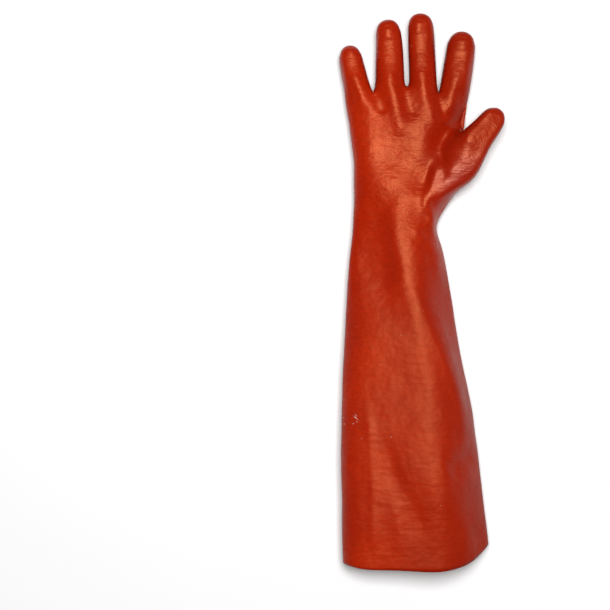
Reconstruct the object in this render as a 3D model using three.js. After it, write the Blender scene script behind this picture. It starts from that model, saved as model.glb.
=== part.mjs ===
// A long vinyl gauntlet glove for the right hand, dipped in one piece, lying on its back.
// Millimetres. +X points to the thumb side, +Y to the fingertips and +Z up, out of the palm.
// The origin is on the surface that the glove lies on, under the middle of its outline,
// which lies within 3 mm of the tables' own zero.
//
// A coarse net of four-sided faces follows the glove: a ring of points for each section of
// the sleeve and the hand, and for each step of a finger or the thumb. The net is smoothed
// once, dented by the folds, flattened where it rests, and then given its wall.
import * as THREE from "three";

const WALL = 1.5;
const VINYL = { color: 0xb02a08, roughness: 0.32, metalness: 0 };

const BODY_POINTS = 20;
const FINGER_POINTS = 8;
const THUMB_POINTS = 12;
// A ring's points start on the thumb's side and go over the top. Across the knuckles each
// finger takes this many of them above, and as many below.
const FINGER_STRIDE = 2;

// Sleeve and hand from the cuff to the knuckles: each row is a section across the glove.
// left and right are its edges, top its highest point, waist the height of its widest
// point, under its lowest (below 0 it flattens on the surface), and lean how much further
// along Y its right edge sits than its left.
const SECTIONS = [
  { y: -293, left: -85.4, right: 72.2, top: 51, waist: 24, under: -3, lean: 19 },
  { y: -268, left: -85.9, right: 70.2, top: 54, waist: 25, under: -3, lean: 16 },
  { y: -236, left: -86.9, right: 66.8, top: 57, waist: 26, under: -3, lean: 11 },
  { y: -200, left: -87.4, right: 63.2, top: 59, waist: 26, under: -3, lean: 7 },
  { y: -165, left: -87.8, right: 58.8, top: 59, waist: 26, under: -3, lean: 4 },
  { y: -130, left: -87.9, right: 54.0, top: 57, waist: 25, under: -3, lean: 2 },
  { y: -95, left: -87.2, right: 47.3, top: 55, waist: 25, under: -3, lean: 0 },
  { y: -60, left: -85.4, right: 40.9, top: 53, waist: 24, under: -3, lean: 0 },
  { y: -27, left: -83.2, right: 35.6, top: 51, waist: 23, under: -3, lean: 0 },
  { y: 3, left: -81.0, right: 30.7, top: 49, waist: 22, under: -3, lean: 0 },
  { y: 29, left: -78.9, right: 25.9, top: 47, waist: 21, under: -2, lean: 0 },
  { y: 51, left: -77.4, right: 20.7, top: 45, waist: 20, under: -2, lean: 0 },
  { y: 69, left: -76.1, right: 13.0, top: 43, waist: 19, under: -2, lean: 0 },
  { y: 84, left: -74.9, right: 18.6, top: 41.5, waist: 18, under: -2, lean: 0 },
  { y: 100, left: -73.9, right: 31.0, top: 40, waist: 17, under: -2, lean: 0 },
  { y: 120, left: -73.3, right: 38.0, top: 39, waist: 16, under: -2, lean: 0 },
  { y: 142, left: -73.6, right: 41.0, top: 38, waist: 16, under: -2, lean: 0 },
  { y: 178, left: -77.8, right: 44.4, top: 36.5, waist: 16, under: -2, lean: 0 },
  { y: 191, left: -79.7, right: 45.7, top: 34.5, waist: 16, under: -1, lean: 0 },
  { y: 203, left: -81.5, right: 47.6, top: 33, waist: 16, under: 1, lean: 0 },
];
const SECTION_FULLNESS = 2.3;

// Over the sleeve a section is no round: its upper side runs from the left edge over a
// shoulder to the crest at its top, stays level over a band, and then goes over the top edge
// of a wall, which leans on the thumb's side, down to its foot. share says how much of this
// a section takes.
const FACETS = [
  { y: -293, share: 1, shoulder: [-60, 46], crest: 8, band: 16, edge: [52, 42], foot: 13 },
  { y: -268, share: 1, shoulder: [-61, 48], crest: 10, band: 14, edge: [48, 45], foot: 13 },
  { y: -236, share: 1, shoulder: [-62, 50], crest: 14, band: 10, edge: [41, 49], foot: 12 },
  { y: -200, share: 1, shoulder: [-62, 51], crest: 16, band: 7, edge: [34, 52], foot: 12 },
  { y: -165, share: 1, shoulder: [-60, 51], crest: 16, band: 8, edge: [40, 50], foot: 12 },
  { y: -130, share: 1, shoulder: [-57, 50], crest: 16, band: 8, edge: [41, 49], foot: 12 },
  { y: -95, share: 1, shoulder: [-55, 48], crest: 16, band: 8, edge: [36, 48], foot: 12 },
  { y: -60, share: 1, shoulder: [-55, 45], crest: 12, band: 7, edge: [26, 47], foot: 12 },
  { y: -27, share: 1, shoulder: [-58, 39], crest: 0, band: 8, edge: [15, 46], foot: 12 },
  { y: 3, share: 1, shoulder: [-60, 36], crest: -10, band: 8, edge: [10, 43], foot: 12 },
  { y: 29, share: 1, shoulder: [-60, 34], crest: -19, band: 9, edge: [17, 34], foot: 12 },
  { y: 51, share: 0.8, shoulder: [-58, 33], crest: -24, band: 9, edge: [13, 33], foot: 13 },
  { y: 69, share: 0.4, shoulder: [-57, 32], crest: -26, band: 8, edge: [8, 34], foot: 14 },
  { y: 84, share: 0, shoulder: [-57, 32], crest: -24, band: 8, edge: [4, 38], foot: 14 },
];
// Where the ring's points sit from the wall's foot to the left edge: which of the five
// stretches between those places, and how far along it.
const FACET_POINTS = [
  [0, 0], [0, 0.42], [0, 0.86], [1, 0.2], [2, 0], [3, 0], [3, 0.33], [3, 0.66], [3, 1],
  [4, 0.5], [4, 1],
];
const SHOULDER_BULGE = 3.5;

// The cuff's cut edge, from the little finger's side to the thumb's.
const HEM = [
  { x: -88, y: -288.5 },
  { x: -78, y: -292.5 },
  { x: -64, y: -295.5 },
  { x: -23, y: -295.5 },
  { x: 13, y: -297.5 },
  { x: 35, y: -295 },
  { x: 51, y: -289 },
  { x: 62, y: -281 },
  { x: 74, y: -268 },
];

// The ring where the fingers part. Between two fingers it dips into a web.
const ROOT = { y: 212, left: -82.6, right: 49.1, top: 31, waist: 16, under: 3 };
const ROOT_BEYOND_WEB = 3;
const WEBS = [
  { name: "index_middle", x: 17.4, y: 211.5 },
  { name: "middle_ring", x: -16.8, y: 223 },
  { name: "ring_little", x: -53.0, y: 213.5 },
];
const WEB_PINCH = 0.8;

// Each finger's middle line, width and depth, from its root through a middle to its tip.
const FINGERS = [
  {
    name: "index",
    root: { x: 33.8, y: 214, z: 16, width: 30.6, depth: 27 },
    middle: { x: 40.2, y: 251, z: 14.5, width: 30.0, depth: 24 },
    tip: { x: 43.3, y: 280.2, z: 20, width: 27.4, depth: 20 },
  },
  {
    name: "middle",
    root: { x: 1.0, y: 214, z: 16, width: 29.5, depth: 28 },
    middle: { x: -0.4, y: 261, z: 14.5, width: 28.2, depth: 25 },
    tip: { x: -2.0, y: 300.4, z: 21, width: 27.2, depth: 20 },
  },
  {
    name: "ring",
    root: { x: -34.4, y: 214, z: 16, width: 30.5, depth: 28 },
    middle: { x: -34.9, y: 258, z: 14.5, width: 28.6, depth: 25 },
    tip: { x: -38.0, y: 293.4, z: 21, width: 26.0, depth: 20 },
  },
  {
    name: "little",
    root: { x: -68.6, y: 214, z: 15, width: 26.6, depth: 25 },
    middle: { x: -75.4, y: 243, z: 13.5, width: 24.4, depth: 22 },
    tip: { x: -78.4, y: 265.2, z: 18, width: 21.6, depth: 18 },
  },
];
const FINGER_STEPS = [0.1, 0.32, 0.56, 0.78];

// The thumb leaves the palm between two sections, over its side and part of its top. Its
// rings fan out round the web by the index finger, and tilt up on that side.
const THUMB_ROOT = { firstSection: 14, lastSection: 17, lastPoint: 3 };
const THUMB = [
  { x: 46.8, y: 144.5, z: 31, heading: 14, width: 55, depth: 30, tilt: 8 },
  { x: 52.2, y: 155, z: 34, heading: 30, width: 42, depth: 28.5, tilt: 6 },
  { x: 57.1, y: 163.6, z: 35.5, heading: 49, width: 34.5, depth: 27, tilt: 3 },
  { x: 65.8, y: 173.6, z: 35.5, heading: 50, width: 30.2, depth: 25.5, tilt: 0 },
];
const THUMB_TIP = { x: 82.6, y: 194.4, z: 36, heading: 50, width: 28.6, depth: 24 };

// How full the fingers' and the thumb's sections are: 2 is an ellipse, more is flatter.
const TUBE_FULLNESS = 2.5;

// Rings that round a finger's end: how far each is back from the tip, in half widths.
const END_RINGS = [
  { back: 0.95, size: 1.0 },
  { back: 0.42, size: 0.86 },
  { back: 0.07, size: 0.5 },
];
const END_BEYOND = 0.1;
const THUMB_TWIST = -15;

// Folds and dents of the side that faces up. Each follows a line of [x, y] points from the
// fingers towards the cuff. height is how far it rises, or sinks if below 0, and the two
// sides say how wide it fades out towards the little finger and towards the thumb.
const FOLDS = [
  {
    name: "heel_ridge",
    line: [[-14, 112], [-25, 67], [-20, 39], [-12, 10], [0, -18], [12, -48], [27, -78]],
    littleSide: 9, thumbSide: 10, height: 2,
  },
  {
    name: "wrist_dent",
    line: [[2, 70], [8, 48], [12, 22], [17, -4]],
    littleSide: 11, thumbSide: 14, height: -3,
  },
  {
    name: "thumb_crease",
    line: [[12, 138], [5, 120], [2, 104], [6, 88]],
    littleSide: 7, thumbSide: 7, height: -2.5,
  },
  { name: "thumb_heel", line: [[6, 92], [12, 73], [17, 57]], littleSide: 8, thumbSide: 5, height: 3 },
  { name: "palm_hollow", line: [[-30, 175], [-28, 120]], littleSide: 24, thumbSide: 24, height: -3 },
  {
    name: "sleeve_valley",
    line: [[-42, -142], [-35, -174], [-19, -197], [-7, -217], [4, -246]],
    littleSide: 17, thumbSide: 16, height: -4,
  },
  {
    name: "sleeve_ridge",
    line: [[-62, -125], [-58, -150], [-56, -188], [-53, -231], [-49, -260]],
    littleSide: 10, thumbSide: 7, height: 2,
  },
  {
    name: "side_notch",
    line: [[24, -190], [38, -182], [54, -172]],
    littleSide: 11, thumbSide: 11, height: -3,
  },
  {
    name: "index_web_valley",
    line: [[17, 214], [18, 205], [22, 186], [28, 168], [25, 152]],
    littleSide: 8, thumbSide: 9, height: -2.5,
  },
];

// A fold works fully where the outward direction's Z is above the first, and not at all
// below the second.
const FOLDS_FULL_ABOVE = 0.5;
const FOLDS_NONE_BELOW = -0.2;

const degrees = Math.PI / 180;

class Net {
  points = [];
  faces = [];

  point(place) {
    this.points.push(place);
    return this.points.length - 1;
  }

  // Four-sided faces between two rings of point numbers, with their outsides out.
  band(lower, upper, open = () => false) {
    lower.forEach((_, i) => {
      const next = (i + 1) % lower.length;
      if (!open(i)) this.faces.push([lower[i], upper[i], upper[next], lower[next]]);
    });
  }

  // A square patch of faces over the end of a ring. Its corners are the ring's diagonal points.
  cap(ring, tip) {
    const side = ring.length / 4;
    const corner = Math.floor(side / 2 + 0.5);
    const at = (k) => ring[(k + corner) % ring.length];
    const middle = ring
      .reduce((sum, p) => sum.add(this.points[p]), new THREE.Vector3())
      .divideScalar(ring.length);
    const rise = tip.clone().sub(middle);
    const grid = [];
    for (let row = 0; row <= side; row++) {
      grid.push([]);
      for (let column = 0; column <= side; column++) {
        if (row === 0) grid[row].push(at(column));
        else if (row === side) grid[row].push(at(3 * side - column));
        else if (column === 0) grid[row].push(at(4 * side - row));
        else if (column === side) grid[row].push(at(side + row));
        else {
          const left = this.points[at(4 * side - row)];
          const right = this.points[at(side + row)];
          const place = left.clone().lerp(right, column / side).add(rise);
          grid[row].push(this.point(place));
        }
      }
    }
    for (let row = 0; row < side; row++)
      for (let column = 0; column < side; column++)
        this.faces.push([
          grid[row][column],
          grid[row + 1][column],
          grid[row + 1][column + 1],
          grid[row][column + 1],
        ]);
  }
}

// The net without the points that no face uses, such as those where the thumb leaves the palm.
function trimmed({ points, faces }) {
  const kept = [...new Set(faces.flat())];
  const numbers = new Map(kept.map((p, i) => [p, i]));
  return {
    points: kept.map((p) => points[p]),
    faces: faces.map((face) => face.map((p) => numbers.get(p))),
  };
}

// A smoothed net pulls a ring of this many points inwards, so its points start further out.
const ringSwell = (count) => 3 / (2 + Math.cos((2 * Math.PI) / count));

// A share of a half width, moved outwards as far as the fullness says.
const fuller = (share, fullness) => Math.sign(share) * Math.abs(share) ** (2 / fullness);

// The section's facets at its place along the glove, between the table's rows.
function facetsAt(y) {
  const next = FACETS.findIndex((facets) => facets.y > y);
  if (next === -1) return FACETS.at(-1);
  const [from, to] = [FACETS[next - 1], FACETS[next]];
  const along = (y - from.y) / (to.y - from.y);
  const between = (a, b) => a + (b - a) * along;
  return {
    share: between(from.share, to.share),
    shoulder: from.shoulder.map((value, i) => between(value, to.shoulder[i])),
    crest: between(from.crest, to.crest),
    band: between(from.band, to.band),
    edge: from.edge.map((value, i) => between(value, to.edge[i])),
    foot: between(from.foot, to.foot),
  };
}

// A point of the section's upper side with its facets, counted from the wall's foot.
function facetPlace(section, facets, point) {
  const beyond = ((section.right - section.left) * (ringSwell(BODY_POINTS) - 1)) / 2;
  const outline = [
    [section.right + beyond, facets.foot],
    facets.edge,
    [facets.crest + facets.band, section.top],
    [facets.crest, section.top],
    facets.shoulder,
    [section.left - beyond, section.waist],
  ].map(([x, z]) => new THREE.Vector2(x, z));
  const [stretch, along] = FACET_POINTS[point];
  const place = outline[stretch].clone().lerp(outline[stretch + 1], along);
  const bulged = point === FACET_POINTS.length - 2 ? SHOULDER_BULGE : 0;
  return place.add(new THREE.Vector2(-bulged, bulged));
}

// The section's outline: round above its waist and flatter below it, but for its facets.
function sectionPlace(section, point) {
  const angle = (point / BODY_POINTS) * 2 * Math.PI;
  const swell = ringSwell(BODY_POINTS);
  const half = (section.right - section.left) / 2;
  const across = Math.cos(angle);
  const round = fuller(Math.sin(angle), SECTION_FULLNESS);
  const reach = round > 0 ? section.top - section.waist : section.waist - section.under;
  const x = section.left + half + across * half * swell;
  const z = section.waist + round * reach * swell;
  const lean = (section.lean ?? 0) * (0.5 + 0.5 * across) ** 2;
  const place = new THREE.Vector3(x, section.y + lean, z);

  const facets = facetsAt(section.y);
  if (point <= BODY_POINTS / 2) {
    const flat = facetPlace(section, facets, point);
    place.lerp(new THREE.Vector3(flat.x, place.y, flat.y), facets.share);
  } else {
    const fall = (z - section.under) / (section.waist - section.under);
    place.z += (facets.foot - section.waist) * facets.share * fall * (0.5 + 0.5 * across);
  }
  return place;
}

// Where the cuff's cut edge lies at a place across the glove.
function hemAt(x) {
  const next = THREE.MathUtils.clamp(HEM.findIndex((point) => point.x > x), 1, HEM.length - 1);
  const [from, to] = [HEM[next - 1], HEM[next]];
  return THREE.MathUtils.mapLinear(x, from.x, to.x, from.y, to.y);
}

function sectionRing(net, section) {
  return Array.from({ length: BODY_POINTS }, (_, i) => net.point(sectionPlace(section, i)));
}

// A ring of points round a line through centre, in the plane that the line crosses squarely.
function tubeRing(net, { centre, along, width, depth, count, turn, tilt = 0 }) {
  const side = new THREE.Vector3().crossVectors(along, new THREE.Vector3(0, 0, 1)).normalize();
  side.applyAxisAngle(along, tilt);
  const up = new THREE.Vector3().crossVectors(side, along).normalize();
  const swell = ringSwell(count);
  return Array.from({ length: count }, (_, i) => {
    const angle = (i / count) * 2 * Math.PI + turn;
    return net.point(
      centre
        .clone()
        .addScaledVector(side, (fuller(Math.cos(angle), TUBE_FULLNESS) * swell * width) / 2)
        .addScaledVector(up, (fuller(Math.sin(angle), TUBE_FULLNESS) * swell * depth) / 2),
    );
  });
}

// Rounds the end of a finger or the thumb, from the last ring to the tip.
function roundEnd(net, lastRing, { tip, along, width, depth, count, turn }) {
  let ring = lastRing;
  for (const { back, size } of END_RINGS) {
    const centre = tip.clone().addScaledVector(along, (-back * width) / 2);
    const next = tubeRing(net, {
      centre, along, width: width * size, depth: depth * size, count, turn,
    });
    net.band(ring, next);
    ring = next;
  }
  net.cap(ring, tip.clone().addScaledVector(along, (END_BEYOND * width) / 2));
}

// A measure of a finger, on its way through the values at its root, middle and tip.
const measureAt = ({ root, middle, tip }, measure, t) =>
  root[measure] * (1 - t) * (1 - 2 * t) +
  middle[measure] * 4 * t * (1 - t) +
  tip[measure] * t * (2 * t - 1);

function addFinger(net, finger, rootRing) {
  const line = new THREE.CatmullRomCurve3(
    [finger.root, finger.middle, finger.tip].map(({ x, y, z }) => new THREE.Vector3(x, y, z)),
  );
  let ring = rootRing;
  for (const t of FINGER_STEPS) {
    const next = tubeRing(net, {
      centre: line.getPoint(t),
      along: line.getTangent(t),
      width: measureAt(finger, "width", t),
      depth: measureAt(finger, "depth", t),
      count: FINGER_POINTS,
      turn: 0,
    });
    net.band(ring, next);
    ring = next;
  }
  roundEnd(net, ring, {
    tip: line.getPoint(1),
    along: line.getTangent(1),
    width: finger.tip.width,
    depth: finger.tip.depth,
    count: FINGER_POINTS,
    turn: 0,
  });
}

function addThumb(net, rings) {
  const { firstSection, lastSection, lastPoint } = THUMB_ROOT;
  const at = (row, column) => rings[firstSection + row][column];
  const rows = lastSection - firstSection;
  const root = [];
  for (let column = 1; column <= lastPoint; column++) root.push(at(0, column));
  for (let row = 1; row <= rows; row++) root.push(at(row, lastPoint));
  for (let column = lastPoint - 1; column >= 0; column--) root.push(at(rows, column));
  for (let row = rows - 1; row >= 0; row--) root.push(at(row, 0));

  const turn = THUMB_TWIST * degrees;
  const place = ({ x, y, z }) => new THREE.Vector3(x, y, z);
  const heading = (step) =>
    new THREE.Vector3(Math.cos(step.heading * degrees), Math.sin(step.heading * degrees), 0);
  let ring = root;
  for (const step of THUMB) {
    const next = tubeRing(net, {
      centre: place(step),
      along: heading(step),
      width: step.width,
      depth: step.depth,
      count: THUMB_POINTS,
      turn,
      tilt: step.tilt * degrees,
    });
    net.band(ring, next);
    ring = next;
  }
  roundEnd(net, ring, {
    tip: place(THUMB_TIP),
    along: heading(THUMB_TIP),
    width: THUMB_TIP.width,
    depth: THUMB_TIP.depth,
    count: THUMB_POINTS,
    turn,
  });
}

function gloveNet() {
  const net = new Net();
  const rings = SECTIONS.map((section) => sectionRing(net, section));
  const inThumbRoot = (row, i) =>
    row >= THUMB_ROOT.firstSection && row < THUMB_ROOT.lastSection && i < THUMB_ROOT.lastPoint;
  for (let row = 1; row < rings.length; row++)
    net.band(rings[row - 1], rings[row], (i) => inThumbRoot(row - 1, i));
  for (const p of rings[0]) net.points[p].y = hemAt(net.points[p].x);

  // Where the fingers part, the ring's points alternate between a finger's middle and a web.
  const root = sectionRing(net, ROOT);
  const webMiddles = WEBS.map((web, k) => {
    const above = 3 + FINGER_STRIDE * k;
    const below = BODY_POINTS - above;
    const middle = new THREE.Vector3(web.x, web.y, ROOT.waist);
    for (const p of [above, below]) {
      const place = net.points[root[p]];
      place.x = web.x;
      place.y = web.y - ROOT_BEYOND_WEB;
      place.z = ROOT.waist + (place.z - ROOT.waist) * WEB_PINCH;
    }
    return net.point(middle);
  });
  net.band(rings.at(-1), root);

  const sides = [root[0], ...webMiddles, root[BODY_POINTS / 2]];
  FINGERS.forEach((finger, k) => {
    const above = [1, 2, 3].map((i) => root[i + FINGER_STRIDE * k]);
    const below = [3, 2, 1].map((i) => root[BODY_POINTS - i - FINGER_STRIDE * k]);
    addFinger(net, finger, [sides[k], ...above, sides[k + 1], ...below]);
  });
  addThumb(net, rings);
  return trimmed(net);
}

// One round of Catmull and Clark's smoothing, which keeps the cuff's open edge on its line.
function smoothed({ points, faces }) {
  const middleOf = (numbers, from) =>
    numbers
      .reduce((sum, p) => sum.add(from[p]), new THREE.Vector3())
      .divideScalar(numbers.length);
  const edges = new Map();
  const edge = (a, b) => {
    const key = a < b ? `${a} ${b}` : `${b} ${a}`;
    if (!edges.has(key)) edges.set(key, { ends: [a, b], faces: [] });
    return edges.get(key);
  };
  const facePoints = faces.map((face) => middleOf(face, points));
  faces.forEach((face, f) =>
    face.forEach((p, i) => edge(p, face[(i + 1) % face.length]).faces.push(f)),
  );

  const moved = points.map(() => ({ faces: [], middles: [], rim: [] }));
  for (const e of edges.values()) {
    e.middle = middleOf(e.ends, points);
    e.open = e.faces.length === 1;
    for (const [p, other] of [e.ends, [...e.ends].reverse()]) {
      moved[p].middles.push(e.middle);
      if (e.open) moved[p].rim.push(points[other]);
    }
  }
  faces.forEach((face, f) => face.forEach((p) => moved[p].faces.push(facePoints[f])));

  const average = (places) =>
    places.reduce((sum, p) => sum.add(p), new THREE.Vector3()).divideScalar(places.length);
  const made = points.map((p, i) => {
    const near = moved[i];
    if (near.rim.length) return p.clone().multiplyScalar(3).add(average(near.rim)).divideScalar(4);
    const n = near.faces.length;
    return average(near.faces)
      .addScaledVector(average(near.middles), 2)
      .addScaledVector(p, n - 3)
      .divideScalar(n);
  });
  for (const e of edges.values()) {
    const sides = e.faces.map((f) => facePoints[f]);
    e.number = made.length;
    made.push(e.open ? e.middle : average([points[e.ends[0]], points[e.ends[1]], ...sides]));
  }
  const centres = facePoints.map((p) => made.push(p) - 1);
  const parts = [];
  faces.forEach((face, f) =>
    face.forEach((p, i) => {
      const next = face[(i + 1) % face.length];
      const last = face[(i + face.length - 1) % face.length];
      parts.push([p, edge(p, next).number, centres[f], edge(last, p).number]);
    }),
  );
  return { points: made, faces: parts };
}

// Each point's outward direction, from the faces that meet there.
function outwards({ points, faces }) {
  const normals = points.map(() => new THREE.Vector3());
  for (const [a, b, c, d] of faces) {
    const across = points[c].clone().sub(points[a]);
    const other = points[d].clone().sub(points[b]);
    const normal = across.cross(other);
    for (const p of [a, b, c, d]) normals[p].add(normal);
  }
  return normals.map((n) => n.normalize());
}

// How strongly a fold works at a point: 1 on its line, fading out to both sides.
function strengthOf(fold, point) {
  const nearest = new THREE.Vector2();
  let least = Infinity;
  for (let i = 1; i < fold.line.length; i++) {
    const from = new THREE.Vector2(...fold.line[i - 1]);
    const way = new THREE.Vector2(...fold.line[i]).sub(from);
    const offset = new THREE.Vector2(point.x, point.y).sub(from);
    const share = THREE.MathUtils.clamp(offset.dot(way) / way.lengthSq(), 0, 1);
    offset.addScaledVector(way, -share);
    if (offset.length() < least) {
      least = offset.length();
      nearest.copy(offset);
    }
  }
  const width = nearest.x < 0 ? fold.littleSide : fold.thumbSide;
  return Math.exp(-((least / width) ** 2));
}

// Presses the folds into the side that faces up and flattens what lies on the surface.
function folded(net) {
  const normals = outwards(net);
  const points = net.points.map((p, i) => {
    const facing = THREE.MathUtils.smoothstep(normals[i].z, FOLDS_NONE_BELOW, FOLDS_FULL_ABOVE);
    const rise = FOLDS.reduce((sum, fold) => sum + fold.height * strengthOf(fold, p), 0);
    const place = p.clone().addScaledVector(normals[i], rise * facing);
    place.z = Math.max(place.z, 0);
    return place;
  });
  return { points, faces: net.faces };
}

// The closed shell: the outside, the inside one wall further in, and the cuff's cut edge.
function shellGeometry({ points, faces }, wall) {
  const normals = outwards({ points, faces });
  const inside = points.map((p, i) => p.clone().addScaledVector(normals[i], -wall));
  const count = points.length;
  const quads = [...faces, ...faces.map((face) => face.map((p) => p + count).reverse())];
  const used = new Set();
  for (const face of faces)
    face.forEach((p, i) => used.add(`${p} ${face[(i + 1) % 4]}`));
  for (const face of faces)
    face.forEach((p, i) => {
      const next = face[(i + 1) % 4];
      if (!used.has(`${next} ${p}`)) quads.push([next, p, p + count, next + count]);
    });
  const places = [...points, ...inside];
  const index = [];
  for (const [a, b, c, d] of quads) {
    const short = places[a].distanceTo(places[c]) < places[b].distanceTo(places[d]);
    index.push(...(short ? [a, b, c, a, c, d] : [b, c, d, b, d, a]));
  }
  const geometry = new THREE.BufferGeometry().setFromPoints(places).setIndex(index);
  geometry.computeVertexNormals();
  return geometry;
}

// Moves a geometry so that the middle of its outline, seen from above, is at the origin.
function centred(geometry) {
  geometry.computeBoundingBox();
  const middle = geometry.boundingBox.getCenter(new THREE.Vector3());
  return geometry.translate(-middle.x, -middle.y, 0);
}

function gloveShell() {
  const net = folded(smoothed(gloveNet()));
  const geometry = centred(shellGeometry(net, WALL));
  const mesh = new THREE.Mesh(geometry, new THREE.MeshStandardMaterial(VINYL));
  mesh.name = "glove_shell";
  return mesh;
}

const glove = new THREE.Group();
glove.add(gloveShell());

export default glove;
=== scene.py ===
"""A long vinyl gauntlet glove for the right hand, dipped in one piece, lying on its back.

The glove is modelled as a coarse cage, ring by ring from the cuff to the fingertips, then
smoothed, creased and given its wall. +X points to the thumb's side, +Y to the fingertips
and +Z up, out of the palm. The tables are in millimetres.
"""
import math

import bmesh
import bpy
import numpy as np
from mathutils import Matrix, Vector, noise


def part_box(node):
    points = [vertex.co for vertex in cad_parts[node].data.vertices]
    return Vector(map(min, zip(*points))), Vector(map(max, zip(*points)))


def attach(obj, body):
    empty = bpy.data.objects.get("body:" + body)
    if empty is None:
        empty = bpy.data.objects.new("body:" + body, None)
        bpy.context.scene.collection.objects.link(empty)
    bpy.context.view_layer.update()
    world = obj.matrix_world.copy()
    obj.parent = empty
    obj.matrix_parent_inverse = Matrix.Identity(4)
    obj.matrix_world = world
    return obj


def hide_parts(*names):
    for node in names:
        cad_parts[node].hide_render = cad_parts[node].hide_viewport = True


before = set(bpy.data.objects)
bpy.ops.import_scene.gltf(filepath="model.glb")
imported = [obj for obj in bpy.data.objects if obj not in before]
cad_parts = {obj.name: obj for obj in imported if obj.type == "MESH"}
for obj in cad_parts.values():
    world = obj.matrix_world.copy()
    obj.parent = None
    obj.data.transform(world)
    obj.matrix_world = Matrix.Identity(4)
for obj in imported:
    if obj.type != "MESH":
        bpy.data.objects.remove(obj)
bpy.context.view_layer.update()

MM = 0.001
WALL = 1.5 * MM

# Points round the sleeve and hand, round a finger and round the thumb, and how many of the
# knuckle ring's upper points lead from one web to the next.
BODY_POINTS = 20
FINGER_POINTS = 8
THUMB_POINTS = 12
FINGER_STRIDE = 2

# Sleeve and hand from the cuff to the knuckles: edges, highest point, height of the widest
# point, lowest point, and how much further along Y the right edge sits than the left.
SECTION_COLUMNS = ("y", "left", "right", "top", "waist", "under", "lean")
SECTIONS = [
    (-293, -85.4, 72.2, 46.5, 24, -3, 19),
    (-268, -85.9, 70.2, 51.5, 25, -3, 16),
    (-236, -86.9, 66.8, 56, 26, -3, 11),
    (-200, -87.4, 63.2, 59, 26, -3, 7),
    (-165, -87.8, 58.8, 59, 26, -3, 4),
    (-130, -87.9, 54.0, 57, 25, -3, 2),
    (-95, -87.2, 47.3, 55, 25, -3, 0),
    (-60, -85.4, 40.9, 53, 24, -3, 0),
    (-27, -83.2, 35.6, 51, 23, -3, 0),
    (3, -81.0, 30.7, 49, 22, -3, 0),
    (29, -78.9, 25.9, 47, 21, -2, 0),
    (51, -77.4, 20.7, 45, 20, -2, 0),
    (69, -76.1, 13.0, 43, 19, -2, 0),
    (84, -74.9, 18.6, 41.5, 18, -2, 0),
    (100, -73.9, 31.0, 40, 17, -2, 0),
    (120, -73.3, 38.0, 39, 16, -2, 0),
    (142, -73.6, 41.0, 38, 16, -2, 0),
    (178, -77.8, 44.4, 36.5, 16, -2, 0),
    (191, -79.7, 45.7, 34.5, 16, -1, 0),
    (203, -81.5, 47.6, 33, 16, 1, 0),
    (212, -82.6, 49.1, 31, 16, 3, 0),
]

# How full the sections are: 2 is an ellipse, more is flatter.
SECTION_FULLNESS = 2.3
TUBE_FULLNESS = 3

# Over the sleeve the section isn't round: its upper side runs from the left edge to a
# shoulder, over it to a step, up a slope to the crest, stays level over a band, and goes
# over the top edge of a wall that leans on the thumb's side down to its foot. share says
# how much of this it takes.
FACET_COLUMNS = (
    "y", "share", "shoulder_x", "shoulder_z", "step_x", "step_z", "crest_x", "band",
    "edge_x", "edge_z", "foot",
)
FACETS = [
    (-293, 1, -60, 40, -38, 42.5, 8, 14, 50, 38, 13),
    (-268, 1, -62, 43, -48, 44.5, 9, 13, 47, 43, 13),
    (-236, 1, -63, 45, -55, 46, 10, 12, 41, 49, 12),
    (-200, 1, -64, 46, -58, 46.5, 4, 13, 35, 52, 12),
    (-165, 1, -64, 46, -59, 46.5, -4, 18, 42, 50, 12),
    (-130, 1, -62, 44, -57, 46, 3, 9, 41, 49, 12),
    (-95, 1, -57, 43, -40, 47, 2, 8, 34, 48, 12),
    (-60, 1, -50, 45, -32, 48.5, -4, 8, 24, 47, 12),
    (-27, 1, -49, 41.5, -36, 43.5, -12, 9, 14, 45, 12),
    (3, 1, -54, 35.5, -42, 37.5, -19, 10, 10, 42, 12),
    (29, 1, -62, 28, -40, 36, -25, 13, 16, 38, 12),
    (51, 0.9, -61, 27, -42, 34, -29, 16, 12, 36, 13),
    (69, 0.9, -60, 26, -44, 32, -31, 19, 8, 36, 14),
    (84, 0.8, -59, 26, -43, 31.5, -29, 18, 10, 34, 14),
    (100, 0.7, -58, 28, -38, 33.5, -25, 13, 12, 36, 14),
    (120, 0, -57, 32, -44, 35, -26, 20, 18, 36, 14),
    (212, 0, -57, 32, -44, 35, -26, 20, 18, 36, 14),
]
# Where the ring's points sit on those stretches, from the foot on: stretch and share of it.
FACET_POINTS = [
    (0, 0), (0, 0.42), (0, 0.86), (1, 0.35), (2, 0), (3, 0), (3, 0.5), (4, 0), (4, 1),
    (5, 0.5), (5, 1),
]

# How far the shoulder bulges on its outer side, as a share of its height above the waist.
SHOULDER_BULGE = 0.15

# The cuff's cut edge, from the little finger's side to the thumb's.
HEM_COLUMNS = ("x", "y")
HEM = [
    (-88, -288.5), (-78, -292.5), (-64, -295.5), (-23, -295.5), (13, -297.5), (35, -295),
    (51, -289), (62, -281), (74, -268),
]

# The webs between the fingers, from the index finger's to the little finger's, by x and y.
WEBS = [(17.4, 211.5), (-16.8, 223), (-53.0, 213.5)]

# Over and under each web the knuckle ring lies this far back from it, and is drawn in towards
# the waist to this share of its height.
ROOT_BEHIND_WEB = 3
WEB_PINCH = 0.8
ROOT_WAIST = 16

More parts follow.
